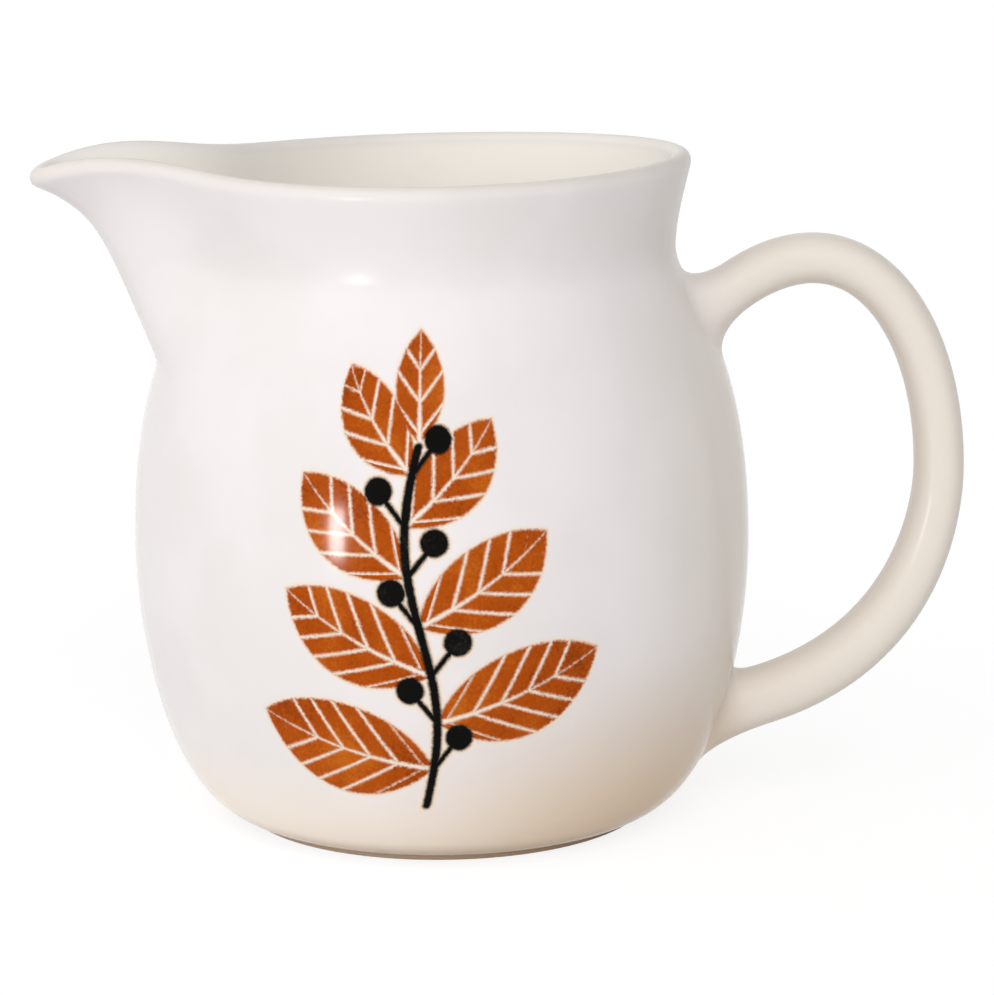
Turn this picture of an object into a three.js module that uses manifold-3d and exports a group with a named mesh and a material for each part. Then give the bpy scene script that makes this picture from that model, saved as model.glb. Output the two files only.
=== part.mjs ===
// Milk jug: a slip-cast body with a drawn pouring spout, and a loop handle that was cast
// apart and is held on by two pads of slip. Millimetres, +Z up, standing on Z = 0, spout
// towards -X, handle towards +X.
import * as THREE from 'three';
import { mergeVertices } from 'three/addons/utils/BufferGeometryUtils.js';
import Module from 'manifold-3d';

const wasm = await Module();
wasm.setup();

const degrees = THREE.MathUtils.degToRad;

// Foot ring and floor
const FOOT_RADIUS = 37.4;
const FOOT_RING_WIDTH = 4.2;
const FOOT_HEIGHT = 1.0; // from the table to the start of the rounded heel
const FOOT_RECESS = 1.4; // hollow of the underside inside the ring
const FLOOR = 4.2;

// Wall outline, from the heel over the belly and shoulder to the lip
const WALL = 3.6;
const HEEL_ANGLE = degrees(10); // rise of the heel where it leaves the foot
const HEEL_PULL = 13.3;
const BELLY_RADIUS = 56.1;
const BELLY_HEIGHT = 50.6;
const BELLY_PULL_DOWN = 19.2;
const BELLY_PULL_UP = 37.8;
const NECK_RADIUS = 42.7;
const SHOULDER_HEIGHT = 52.9; // from the widest ring of the belly up to the neck
const NECK_PULL_DOWN = 7.4;
const NECK_PULL_UP = 5.2;
const RIM_RADIUS = 45.4; // outer edge of the lip, away from the spout
const COLLAR_HEIGHT = 15.9; // from the neck up to the crest of the lip
const RIM_LEAN = degrees(9.5); // outward lean of the wall at the lip
const RIM_PULL = 2.2;
const RIM_BACK_RISE = 1.6; // lift of the lip above the handle
const RIM_BACK_POWER = 3; // how close to the handle that lift stays

// Spout, drawn out of the neck
const SPOUT_OVERHANG = 26.6; // from the round lip's edge to the tip's edge
const SPOUT_FOOT_BELOW_NECK = 19.5; // where its keel leaves the shoulder
const SPOUT_LEAN = degrees(21.4); // of the keel from upright, below the flare
const SPOUT_FLARE_POWER = 8; // how late the keel flares out
const SPOUT_HALF_ANGLE = degrees(15); // plan angle where it stands out half as far
const SPOUT_FLANK_POWER = 3.6; // how square its nose and flanks are
const SPOUT_SHOULDER_RISE = 1.7; // lip height half way out along the spout
const SPOUT_TIP_DIP = 1.9; // drop of the tip below the round lip

// Loop handle
const HANDLE_THICKNESS = 9.0;
const HANDLE_LOWER_THICKNESS = 10.6; // where it meets the lower belly
const HANDLE_WIDTH = 13.0;
const HANDLE_SECTION_POWER = 2.5; // 2 is an oval, more is squarer
const FINGER_ROOM = 30.3; // from the belly to the inside of the loop
const BULGE_ABOVE_BELLY = 11.8; // height of the loop's outermost point
const BULGE_PULL_UP = 29.9;
const BULGE_PULL_DOWN = 9.1;
const UPPER_ROOT_BELOW_NECK = 11.9;
const UPPER_ROOT_ANGLE = degrees(43.5);
const UPPER_ROOT_PULL = 33.9;
const LOWER_ROOT_HEIGHT = 18.0;
const LOWER_ROOT_ANGLE = degrees(10);
const LOWER_ROOT_PULL = 36.0;
const UPPER_FLARE = 3.0; // growth of the section where it meets the shoulder
const LOWER_FLARE = 1.4; // and where it meets the lower belly
const FLARE_LENGTH = 6.0;

// Luting joints
const SLIP_THICKNESS = 0.8;
const SLIP_BEAD = 0.6; // slip squeezed out past the handle's edge
const JOINT_GAP = 0.3;

// Facets
const COLUMNS = 64;
const COLUMN_CROWDING = 0.35; // columns lie closer towards the spout and the handle
const HEEL_ROWS = 8;
const SHOULDER_ROWS = 11;
const COLLAR_ROWS = 7;
const LIP_ROWS = 4;
const HANDLE_SIDES = 18;
const HANDLE_RINGS = 26;
const FLARE_RINGS = 4;
const HALVINGS = 40; // when a height is looked up on the outline
const SLOPE_STEP = 1e-3; // when a direction is measured on the wall

// Heights and radii that follow from the sizes above
const NECK_HEIGHT = BELLY_HEIGHT + SHOULDER_HEIGHT;
const EDGE_HEIGHT = NECK_HEIGHT + COLLAR_HEIGHT - WALL / 2;
const SPOUT_FOOT_HEIGHT = NECK_HEIGHT - SPOUT_FOOT_BELOW_NECK;

// Outer outline as radius and height: heel, then belly and shoulder, then neck and collar
const heel = new THREE.CubicBezierCurve(
  new THREE.Vector2(FOOT_RADIUS, FOOT_HEIGHT),
  new THREE.Vector2(
    FOOT_RADIUS + HEEL_PULL * Math.cos(HEEL_ANGLE),
    FOOT_HEIGHT + HEEL_PULL * Math.sin(HEEL_ANGLE),
  ),
  new THREE.Vector2(BELLY_RADIUS, BELLY_HEIGHT - BELLY_PULL_DOWN),
  new THREE.Vector2(BELLY_RADIUS, BELLY_HEIGHT),
);
const shoulder = new THREE.CubicBezierCurve(
  new THREE.Vector2(BELLY_RADIUS, BELLY_HEIGHT),
  new THREE.Vector2(BELLY_RADIUS, BELLY_HEIGHT + BELLY_PULL_UP),
  new THREE.Vector2(NECK_RADIUS, NECK_HEIGHT - NECK_PULL_DOWN),
  new THREE.Vector2(NECK_RADIUS, NECK_HEIGHT),
);
const collar = new THREE.CubicBezierCurve(
  new THREE.Vector2(NECK_RADIUS, NECK_HEIGHT),
  new THREE.Vector2(NECK_RADIUS, NECK_HEIGHT + NECK_PULL_UP),
  new THREE.Vector2(
    RIM_RADIUS - RIM_PULL * Math.sin(RIM_LEAN),
    EDGE_HEIGHT - RIM_PULL * Math.cos(RIM_LEAN),
  ),
  new THREE.Vector2(RIM_RADIUS, EDGE_HEIGHT),
);
const outline = [heel, shoulder, collar];
const TOP = outline.length;

// A station is a place along the outline: its whole part picks the curve.
function outlinePoint(station) {
  const curve = Math.min(Math.floor(station), TOP - 1);
  return outline[curve].getPoint(station - curve);
}

// The outline climbs all the way, so halving finds the station of a height.
function outlineRadius(height) {
  let low = 0;
  let high = TOP;
  for (let halving = 0; halving < HALVINGS; halving++) {
    const middle = (low + high) / 2;
    if (outlinePoint(middle).y < height) low = middle;
    else high = middle;
  }
  return outlinePoint(low).x;
}

// Share of the climb from the foot of the spout to the lip.
function spoutClimb(height) {
  return Math.max(0, (height - SPOUT_FOOT_HEIGHT) / (EDGE_HEIGHT - SPOUT_FOOT_HEIGHT));
}

// Keel of the spout: a straight lean that flares out to the tip.
const KEEL_FOOT_RADIUS = outlineRadius(SPOUT_FOOT_HEIGHT);
const KEEL_STRAIGHT_REACH = (EDGE_HEIGHT - SPOUT_FOOT_HEIGHT) * Math.tan(SPOUT_LEAN);
const KEEL_FLARE = RIM_RADIUS + SPOUT_OVERHANG - KEEL_FOOT_RADIUS - KEEL_STRAIGHT_REACH;

function keelRadius(height) {
  const climb = spoutClimb(height);
  return KEEL_FOOT_RADIUS + KEEL_STRAIGHT_REACH * climb + KEEL_FLARE * climb ** SPOUT_FLARE_POWER;
}

// How far the wall follows the keel: 1 at the nose of the spout, 0 well round the jug.
function spoutShare(angle) {
  return 1 / (1 + (Math.abs(angle) / SPOUT_HALF_ANGLE) ** SPOUT_FLANK_POWER);
}

// Lift of the lip: up along the spout's flanks, down at its tip, up again over the handle.
// Along the spout it is lift * share - fall * share ** 3, which reaches the shoulder's rise
// at a share of one half and the tip's dip at a share of one.
const TIP_FALL = (8 / 3) * (SPOUT_SHOULDER_RISE + SPOUT_TIP_DIP / 2);
const FLANK_LIFT = TIP_FALL - SPOUT_TIP_DIP;

function rimRise(angle) {
  const share = spoutShare(angle);
  const backShare = ((1 - Math.cos(angle)) / 2) ** RIM_BACK_POWER;
  return FLANK_LIFT * share - TIP_FALL * share ** 3 + RIM_BACK_RISE * backShare;
}

// Outer face of the wall. The angle runs round the jug from the nose of the spout.
function outerPoint(station, angle) {
  const { x: radius, y: height } = outlinePoint(station);
  const reach = height > SPOUT_FOOT_HEIGHT ? Math.max(0, keelRadius(height) - radius) : 0;
  const distance = radius + reach * spoutShare(angle);
  const lifted = height + rimRise(angle) * spoutClimb(height) ** 2;
  return new THREE.Vector3(-distance * Math.cos(angle), -distance * Math.sin(angle), lifted);
}

// Directions on the outer face: out of the wall and up along it.
function wallDirections(station, angle) {
  const above = outerPoint(Math.min(station + SLOPE_STEP, TOP), angle);
  const below = outerPoint(Math.max(station - SLOPE_STEP, 0), angle);
  const ahead = outerPoint(station, angle + SLOPE_STEP);
  const behind = outerPoint(station, angle - SLOPE_STEP);
  const round = ahead.sub(behind).normalize();
  const out = round.clone().cross(above.sub(below)).normalize();
  return { out, up: out.clone().cross(round) };
}

function offsetPoint(station, angle, offset) {
  return outerPoint(station, angle).addScaledVector(wallDirections(station, angle).out, offset);
}

// Inner face: a wall's thickness inside the outer one, thickening to the floor at the heel.
function innerPoint(station, angle) {
  const thickness = THREE.MathUtils.lerp(FLOOR, WALL, THREE.MathUtils.smoothstep(station, 0, 1));
  return offsetPoint(station, angle, -thickness);
}

// Round lip: half a turn from the outer edge over the crest to the inner edge.
function lipPoint(turn, angle) {
  const { out, up } = wallDirections(TOP, angle);
  const radius = WALL / 2;
  return offsetPoint(TOP, angle, -radius)
    .addScaledVector(out, radius * Math.cos(turn))
    .addScaledVector(up, radius * Math.sin(turn));
}

// Angles of the columns, closer together at the spout and at the handle.
const columnAngles = Array.from({ length: COLUMNS }, (_, column) => {
  const even = (column / COLUMNS) * 2 * Math.PI - Math.PI;
  return even - (COLUMN_CROWDING * Math.sin(2 * even)) / 2;
});

const ringOf = (pointAt) => columnAngles.map(pointAt);
const flatRing = (radius, height) =>
  ringOf((angle) => new THREE.Vector3(-radius * Math.cos(angle), -radius * Math.sin(angle), height));

// Stations of the rows, from the foot to the lip.
const rowStations = [HEEL_ROWS, SHOULDER_ROWS, COLLAR_ROWS].flatMap((rows, curve) =>
  Array.from({ length: rows }, (_, row) => curve + row / rows),
);
rowStations.push(TOP);

// Joins rings of points, with a closing point at each end, into one closed surface.
function loft(firstPoint, rings, lastPoint) {
  const sides = rings[0].length;
  const last = rings.length * sides + 1;
  const at = (ring, side) => 1 + ring * sides + (side % sides);
  const index = [];
  for (let side = 0; side < sides; side++) {
    index.push(0, at(0, side + 1), at(0, side));
    for (let ring = 0; ring + 1 < rings.length; ring++) {
      index.push(at(ring, side), at(ring, side + 1), at(ring + 1, side + 1));
      index.push(at(ring, side), at(ring + 1, side + 1), at(ring + 1, side));
    }
    index.push(at(rings.length - 1, side), at(rings.length - 1, side + 1), last);
  }
  const geometry = new THREE.BufferGeometry().setFromPoints([firstPoint, ...rings.flat(), lastPoint]);
  geometry.setIndex(index);
  return geometry;
}

// Whole casting: underside, foot ring, outer face, lip, inner face and floor.
function bodyGeometry() {
  const ringInside = FOOT_RADIUS - FOOT_RING_WIDTH;
  const foot = [
    flatRing(ringInside, FOOT_RECESS),
    flatRing(ringInside, 0),
    flatRing(FOOT_RADIUS, 0),
  ];
  const outer = rowStations.map((station) => ringOf((angle) => outerPoint(station, angle)));
  const lip = Array.from({ length: LIP_ROWS }, (_, row) => {
    const turn = (Math.PI * (row + 1)) / (LIP_ROWS + 1);
    return ringOf((angle) => lipPoint(turn, angle));
  });
  const inner = rowStations.map((station) => ringOf((angle) => innerPoint(station, angle))).reverse();
  const floorHeight = innerPoint(0, Math.PI).z;
  return loft(
    new THREE.Vector3(0, 0, FOOT_RECESS),
    [...foot, ...outer, ...lip, ...inner],
    new THREE.Vector3(0, 0, floorHeight),
  );
}

// Filled shape of the body grown by a gap, used to trim what is luted to its wall.
function grownBody(gap) {
  const rings = rowStations.map((station) => ringOf((angle) => offsetPoint(station, angle, gap)));
  const capPoint = (ring) => new THREE.Vector3(0, 0, ring[0].z);
  return loft(capPoint(rings[0]), rings, capPoint(rings[rings.length - 1]));
}

// Centre line of the handle in the XZ plane, from the shoulder round to the lower belly
const upperRootHeight = NECK_HEIGHT - UPPER_ROOT_BELOW_NECK;
const upperRoot = new THREE.Vector2(outlineRadius(upperRootHeight), upperRootHeight);
const lowerRoot = new THREE.Vector2(outlineRadius(LOWER_ROOT_HEIGHT), LOWER_ROOT_HEIGHT);
const bulge = new THREE.Vector2(
  BELLY_RADIUS + FINGER_ROOM + HANDLE_THICKNESS / 2,
  BELLY_HEIGHT + BULGE_ABOVE_BELLY,
);
const along = (from, angle, distance) =>
  new THREE.Vector2(from.x + distance * Math.cos(angle), from.y + distance * Math.sin(angle));

const handleLine = new THREE.CurvePath();
handleLine.add(
  new THREE.CubicBezierCurve(
    upperRoot,
    along(upperRoot, UPPER_ROOT_ANGLE, UPPER_ROOT_PULL),
    new THREE.Vector2(bulge.x, bulge.y + BULGE_PULL_UP),
    bulge,
  ),
);
handleLine.add(
  new THREE.CubicBezierCurve(
    bulge,
    new THREE.Vector2(bulge.x, bulge.y - BULGE_PULL_DOWN),
    along(lowerRoot, LOWER_ROOT_ANGLE, LOWER_ROOT_PULL),
    lowerRoot,
  ),
);
const handleLength = handleLine.getLength();
const bulgeDistance = handleLine.curves[0].getLength();

// One ring of the handle at a distance along its centre line; beyond either root it runs on
// straight into the wall. Growth widens the section on every side.
function handleRing(distance, growth) {
  const inside = THREE.MathUtils.clamp(distance, 0, handleLength);
  const centre = handleLine.getPoint(inside / handleLength);
  const heading = handleLine.getTangent(inside / handleLength);
  centre.addScaledVector(heading, distance - inside);
  const flareShare = (rootDistance) => Math.max(0, 1 - rootDistance / FLARE_LENGTH) ** 2;
  const flare = UPPER_FLARE * flareShare(inside) + LOWER_FLARE * flareShare(handleLength - inside);
  const lowerShare = THREE.MathUtils.smoothstep(inside, bulgeDistance, handleLength);
  const thickness = THREE.MathUtils.lerp(HANDLE_THICKNESS, HANDLE_LOWER_THICKNESS, lowerShare);
  const halfThickness = thickness / 2 + flare + growth;
  const halfWidth = HANDLE_WIDTH / 2 + flare + growth;
  const rounded = (value) => Math.sign(value) * Math.abs(value) ** (2 / HANDLE_SECTION_POWER);
  return Array.from({ length: HANDLE_SIDES }, (_, side) => {
    const turn = (2 * Math.PI * side) / HANDLE_SIDES;
    const outwards = halfThickness * rounded(Math.cos(turn));
    const across = -halfWidth * rounded(Math.sin(turn));
    return new THREE.Vector3(centre.x - heading.y * outwards, across, centre.y + heading.x * outwards);
  });
}

// Solid bar along part of the handle's centre line.
function handleBar(distances, growth) {
  const rings = distances.map((distance) => handleRing(distance, growth));
  const middle = (ring) => ring.reduce((sum, point) => sum.add(point), new THREE.Vector3());
  const capPoint = (ring) => middle(ring).divideScalar(ring.length);
  return loft(capPoint(rings[0]), rings, capPoint(rings[rings.length - 1]));
}

// Ring distances of one end: a stub inside the wall, then the flare.
const ROOT_STUB = WALL + UPPER_FLARE + LOWER_FLARE + HANDLE_LOWER_THICKNESS / 2;
const endDistances = [-ROOT_STUB];
for (let ring = 0; ring < FLARE_RINGS; ring++) {
  endDistances.push((FLARE_LENGTH * ring) / FLARE_RINGS);
}
const farDistances = endDistances.map((distance) => handleLength - distance).reverse();
const loopDistances = Array.from({ length: HANDLE_RINGS }, (_, ring) =>
  THREE.MathUtils.mapLinear(ring, 0, HANDLE_RINGS - 1, FLARE_LENGTH, handleLength - FLARE_LENGTH),
);

// Closed surface to solid and back, for the trimming cuts
function toSolid(geometry) {
  const merged = mergeVertices(geometry);
  return new wasm.Manifold(
    new wasm.Mesh({
      numProp: 3,
      vertProperties: new Float32Array(merged.attributes.position.array),
      triVerts: new Uint32Array(merged.index.array),
    }),
  );
}

function toGeometry(solid) {
  const { vertProperties, triVerts } = solid.getMesh();
  const geometry = new THREE.BufferGeometry();
  geometry.setAttribute('position', new THREE.BufferAttribute(vertProperties, 3));
  geometry.setIndex(new THREE.BufferAttribute(triVerts, 1));
  return geometry;
}

// The slip lies a gap off the wall, and the handle's end a gap off the slip.
const slipUnderside = toSolid(grownBody(JOINT_GAP));
const slipTop = toSolid(grownBody(JOINT_GAP + SLIP_THICKNESS));
const handleSeat = toSolid(grownBody(JOINT_GAP + SLIP_THICKNESS + JOINT_GAP));

function handleGeometry() {
  const bar = handleBar([...endDistances, ...loopDistances, ...farDistances], 0);
  return toGeometry(toSolid(bar).subtract(handleSeat));
}

function slipGeometry(distances) {
  const stub = toSolid(handleBar(distances, SLIP_BEAD));
  return toGeometry(stub.intersect(slipTop).subtract(slipUnderside));
}

function piece(name, geometry, colour, roughness) {
  geometry.computeVertexNormals();
  const material = new THREE.MeshStandardMaterial({ color: colour, roughness, metalness: 0 });
  const mesh = new THREE.Mesh(geometry, material);
  mesh.name = name;
  return mesh;
}

const jug = new THREE.Group();
jug.add(
  piece('jug_body', bodyGeometry(), '#efeae6', 0.15),
  piece('handle', handleGeometry(), '#ebe1d4', 0.18),
  piece('upper_slip_joint', slipGeometry(endDistances), '#e6dccd', 0.3),
  piece('lower_slip_joint', slipGeometry(farDistances), '#e6dccd', 0.3),
);

// The jug stands with the middle of its length, spout tip to handle, over the origin.
const box = new THREE.Box3().setFromObject(jug);
jug.position.x = -(box.min.x + box.max.x) / 2;

export default jug;
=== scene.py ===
"""Milk jug of glazed earthenware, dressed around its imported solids.

The frame is in metres with +Z up: the jug stands on Z = 0, its spout points to -X and its
handle to +X. Sizes are written in millimetres and become metres where a mesh is made.
"""
import logging
import math
import operator
from dataclasses import asdict, dataclass, replace
from enum import Enum
from types import SimpleNamespace
from typing import Callable, Iterable, Optional, Union

import bmesh
import bpy
from mathutils import Matrix, Vector


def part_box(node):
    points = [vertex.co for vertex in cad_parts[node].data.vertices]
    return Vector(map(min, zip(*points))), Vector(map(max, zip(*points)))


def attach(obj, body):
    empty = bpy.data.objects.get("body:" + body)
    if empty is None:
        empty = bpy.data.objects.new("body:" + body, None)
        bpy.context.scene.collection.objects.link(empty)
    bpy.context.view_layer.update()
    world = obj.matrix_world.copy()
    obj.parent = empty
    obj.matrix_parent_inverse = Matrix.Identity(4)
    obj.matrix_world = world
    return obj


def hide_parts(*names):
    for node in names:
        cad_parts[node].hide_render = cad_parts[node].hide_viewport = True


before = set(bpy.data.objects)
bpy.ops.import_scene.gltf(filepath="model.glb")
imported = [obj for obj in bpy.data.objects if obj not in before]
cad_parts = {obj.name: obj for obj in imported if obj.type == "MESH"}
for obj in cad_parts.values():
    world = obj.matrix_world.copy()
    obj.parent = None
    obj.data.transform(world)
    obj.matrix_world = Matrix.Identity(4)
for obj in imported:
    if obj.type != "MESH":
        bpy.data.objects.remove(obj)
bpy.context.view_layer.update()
LOG = logging.getLogger("milk_jug")

MM = 0.001
PER_METRE = 1 / MM
SEAM_MERGE = 0.005 * MM
SHARP_ANGLE = math.radians(40)

# Step for slopes, in stations or radians, and how often a search halves its range
SLOPE_STEP = 1e-3
HALVINGS = 40

# Sockets of the node that mixes two colours, whose names aren't unique
MIX_SHARE = 0
MIX_FIRST = 6
MIX_SECOND = 7
MIX_RESULT = 2


class Body(Enum):
    """Bodies of the frame that a piece can ride on."""

    ROOT = "root"


class Root(Enum):
    """The two ends of the handle."""

    UPPER = "upper"
    LOWER = "lower"


def linear(code: str) -> tuple[float, float, float, float]:
    """Turns an sRGB hex colour to linear light.

    Args:
        code: Colour such as "#c0561a".

    Returns:
        Red, green, blue and an alpha of one.
    """
    shares = [int(code[place:place + 2], 16) / 255 for place in (1, 3, 5)]
    light = [s / 12.92 if s <= 0.04045 else ((s + 0.055) / 1.055) ** 2.4 for s in shares]
    return (*light, 1.0)


def step_method(operation: str, swapped: bool = False) -> Callable[["Field", "Number"], "Field"]:
    """Makes an operator of a field, which adds one step of arithmetic to the field's tree.

    Args:
        operation: Blender's name for the step.
        swapped: Whether the other value comes first.

    Returns:
        The operator.
    """
    def method(self: "Field", other: "Number") -> "Field":
        """Adds the step."""
        return compute(operation, other, self) if swapped else compute(operation, self, other)

    return method


class Field:
    """A value that may differ from place to place, held by an output socket of a node.

    The usual operators add nodes to the tree that the socket belongs to.
    """

    def __init__(self, socket: bpy.types.NodeSocket) -> None:
        """Keeps the socket."""
        self.socket = socket

    __add__ = step_method("ADD")
    __sub__ = step_method("SUBTRACT")
    __mul__ = step_method("MULTIPLY")
    __truediv__ = step_method("DIVIDE")
    __pow__ = step_method("POWER")
    __radd__ = step_method("ADD", swapped=True)
    __rsub__ = step_method("SUBTRACT", swapped=True)
    __rmul__ = step_method("MULTIPLY", swapped=True)
    __rtruediv__ = step_method("DIVIDE", swapped=True)

    def __abs__(self) -> "Field":
        """Absolute value."""
        return compute("ABSOLUTE", self)


Number = Union[float, Field]

PLAIN_STEPS: dict[str, Callable[..., float]] = {
    "ADD": operator.add,
    "SUBTRACT": operator.sub,
    "MULTIPLY": operator.mul,
    "DIVIDE": operator.truediv,
    "POWER": operator.pow,
    "ABSOLUTE": abs,
    "MAXIMUM": max,
    "MINIMUM": min,
    "SINE": math.sin,
    "COSINE": math.cos,
    "TANGENT": math.tan,
    "SIGN": lambda value: float((value > 0) - (value < 0)),
    "GREATER_THAN": lambda value, limit: float(value > limit),
}


def add_node(
    tree: bpy.types.NodeTree, kind: str, links: Optional[dict] = None, **settings: object
) -> bpy.types.Node:
    """Adds one node with its settings, and fills its input sockets.

    Args:
        tree: Tree that gets the node.
        kind: Blender's name for the kind of node.
        links: Socket name or number to a field, which is linked, or to a plain value.
        settings: Properties of the node.

    Returns:
        The new node.
    """
    node = tree.nodes.new(kind)
    for name, value in settings.items():
        setattr(node, name, value)
    for key, value in (links or {}).items():
        if isinstance(value, Field):
            tree.links.new(value.socket, node.inputs[key])
        else:
            node.inputs[key].default_value = value
    return node


def compute(operation: str, *values: Number) -> Number:
    """Works out one step of arithmetic, on plain numbers or as a node on fields.

    Args:
        operation: Blender's name for the step.
        values: Numbers and fields, in order.

    Returns:
        A number if every value is one, otherwise a field.
    """
    sockets = [value.socket for value in values if isinstance(value, Field)]
    if not sockets:
        return PLAIN_STEPS[operation](*values)
    is_vector = any(socket.type == "VECTOR" for socket in sockets)
    kind = "ShaderNodeVectorMath" if is_vector else "ShaderNodeMath"
    links = {}
    for place, value in enumerate(values):
        plain = not isinstance(value, Field)
        links[place] = (value,) * 3 if plain and is_vector else value
    return Field(add_node(sockets[0].id_data, kind, links, operation=operation).outputs[0])


def clamped(value: Number) -> Number:
    """Limits a value to the range from 0 to 1."""
    return compute("MINIMUM", compute("MAXIMUM", value, 0.0), 1.0)


def eased(value: Number, start: float, end: float) -> Number:
    """Runs smoothly from 0 at the start to 1 at the end, which may be the lower one."""
    share = clamped((value - start) / (end - start))
    return share * share * (3.0 - 2.0 * share)


def mixed(first: Number, second: Number, share: Number) -> Number:
    """Value between two others."""
    return first + (second - first) * share


def bezier_travel(points: list[Number], share: Number) -> Number:
    """Way made along one coordinate of a cubic curve.

    Args:
        points: That coordinate of the four control points.
        share: Place on the curve, from 0 to 1.

    Returns:
        Difference from the curve's start.
    """
    start, leave, arrive, end = points
    bend = 3.0 * (start - 2.0 * leave + arrive)
    twist = end - start + 3.0 * (leave - arrive)
    return (3.0 * (leave - start) + (bend + twist * share) * share) * share


def chain_point(
    curves: list[list[tuple[Number, Number]]], station: Number
) -> tuple[Number, Number]:
    """Point on a chain of cubic curves that start where the last one ended.

    Args:
        curves: Control points of each curve.
        station: Place on the chain: its whole part picks the curve.

    Returns:
        The two coordinates.
    """
    across, up = curves[0][0]
    for curve, points in enumerate(curves):
        share = clamped(station - float(curve))
        across = across + bezier_travel([point[0] for point in points], share)
        up = up + bezier_travel([point[1] for point in points], share)
    return across, up


@dataclass(frozen=True)
class WallSizes:
    """Sizes of the casting's wall, in millimetres and radians, the same as in the solids."""

    wall: float = 3.6
    floor: float = 4.2
    foot_radius: float = 37.4
    foot_height: float = 1.0
    heel_angle: float = math.radians(10)
    heel_pull: float = 13.3
    belly_radius: float = 56.1
    belly_height: float = 50.6
    belly_pull_down: float = 19.2
    belly_pull_up: float = 37.8
    neck_radius: float = 42.7
    shoulder_height: float = 52.9
    neck_pull_down: float = 7.4
    neck_pull_up: float = 5.2
    rim_radius: float = 45.4
    collar_height: float = 15.9
    rim_lean: float = math.radians(9.5)
    rim_pull: float = 2.2
    rim_back_rise: float = 1.6
    rim_back_power: float = 3.0
    spout_overhang: float = 26.6
    spout_foot_below_neck: float = 19.5
    spout_foot_radius: float = 0.0
    spout_lean: float = math.radians(21.4)
    spout_flare_power: float = 8.0
    spout_half_angle: float = math.radians(15)
    spout_flank_power: float = 3.6
    spout_shoulder_rise: float = 1.7
    spout_tip_dip: float = 1.9


AnyWall = Union[WallSizes, SimpleNamespace]
OUTLINE_CURVES = 3


def outline_point(size: AnyWall, station: Number) -> tuple[Number, Number]:
    """Point on the outer outline, from the foot over the belly and shoulder to the lip.

    Args:
        size: Sizes of the wall, as numbers or as fields.
        station: Place on the outline, from 0 at the foot to 3 at the lip.

    Returns:
        Radius and height.
    """
    neck = size.belly_height + size.shoulder_height
    edge = neck + size.collar_height - size.wall / 2.0
    heel = [
        (size.foot_radius, size.foot_height),
        (
            size.foot_radius + size.heel_pull * compute("COSINE", size.heel_angle),
            size.foot_height + size.heel_pull * compute("SINE", size.heel_angle),
        ),
        (size.belly_radius, size.belly_height - size.belly_pull_down),
        (size.belly_radius, size.belly_height),
    ]
    shoulder = [
        (size.belly_radius, size.belly_height),
        (size.belly_radius, size.belly_height + size.belly_pull_up),
        (size.neck_radius, neck - size.neck_pull_down),
        (size.neck_radius, neck),
    ]
    collar = [
        (size.neck_radius, neck),
        (size.neck_radius, neck + size.neck_pull_up),
        (
            size.rim_radius - size.rim_pull * compute("SINE", size.rim_lean),
            edge - size.rim_pull * compute("COSINE", size.rim_lean),
        ),
        (size.rim_radius, edge),
    ]
    return chain_point([heel, shoulder, collar], station)


def outer_point(size: AnyWall, station: Number, angle: Number) -> tuple[Number, Number, Number]:
    """Point on the outer face of the wall, spout included.

    Args:
        size: Sizes of the wall, as numbers or as fields.
        station: Place on the outline.
        angle: Place round the jug, from the nose of the spout.

    Returns:
        Coordinates from the jug's axis, in millimetres.
    """
    radius, height = outline_point(size, station)
    neck = size.belly_height + size.shoulder_height
    edge = neck + size.collar_height - size.wall / 2.0
    spout_foot = neck - size.spout_foot_below_neck
    climb = compute("MAXIMUM", (height - spout_foot) / (edge - spout_foot), 0.0)
    straight = (edge - spout_foot) * compute("TANGENT", size.spout_lean)
    flare = size.rim_radius + size.spout_overhang - size.spout_foot_radius - straight
    keel = size.spout_foot_radius + straight * climb + flare * climb ** size.spout_flare_power
    reach = compute("MAXIMUM", keel - radius, 0.0) * compute("GREATER_THAN", climb, 0.0)
    share = 1.0 / (1.0 + (abs(angle) / size.spout_half_angle) ** size.spout_flank_power)
    distance = radius + reach * share

    # The lip climbs along the spout's flanks, drops at its tip and climbs over the handle. A cubic
    # of the share gives the flanks' rise at a half and the tip's dip at one.
    fall = (8.0 / 3.0) * (size.spout_shoulder_rise + size.spout_tip_dip / 2.0)
    back = ((1.0 - compute("COSINE", angle)) / 2.0) ** size.rim_back_power
    rise = (fall - size.spout_tip_dip) * share - fall * share ** 3.0 + size.rim_back_rise * back
    return (
        0.0 - distance * compute("COSINE", angle),
        0.0 - distance * compute("SINE", angle),
        height + rise * climb ** 2.0,
    )


def lowest_share(rises: Callable[[float], float], goal: float, low: float, high: float) -> float:
    """Finds where a rising function reaches a goal, by halving.

    Args:
        rises: The function.
        goal: Value to reach.
        low: Start of the range.
        high: End of the range.

    Returns:
        The place in the range.
    """
    for _ in range(HALVINGS):
        middle = (low + high) / 2
        if rises(middle) < goal:
            low = middle
        else:
            high = middle
    return low


def outline_radius(size: WallSizes, height: float) -> float:
    """Radius of the outline at a height, in millimetres."""
    station = lowest_share(lambda s: outline_point(size, s)[1], height, 0, OUTLINE_CURVES)
    return outline_point(size, station)[0]


def wall_point(size: WallSizes, height: float, angle: float) -> Vector:
    """Point on the outer face at a height, from the jug's axis, in millimetres."""
    station = lowest_share(
        lambda s: outer_point(size, s, angle)[2], height, 0, OUTLINE_CURVES
    )
    return Vector(outer_point(size, station, angle))


def round_angle(point: Vector) -> float:
    """Angle of a point round the jug, from the nose of the spout."""
    return math.atan2(-point.y, -point.x)


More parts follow.
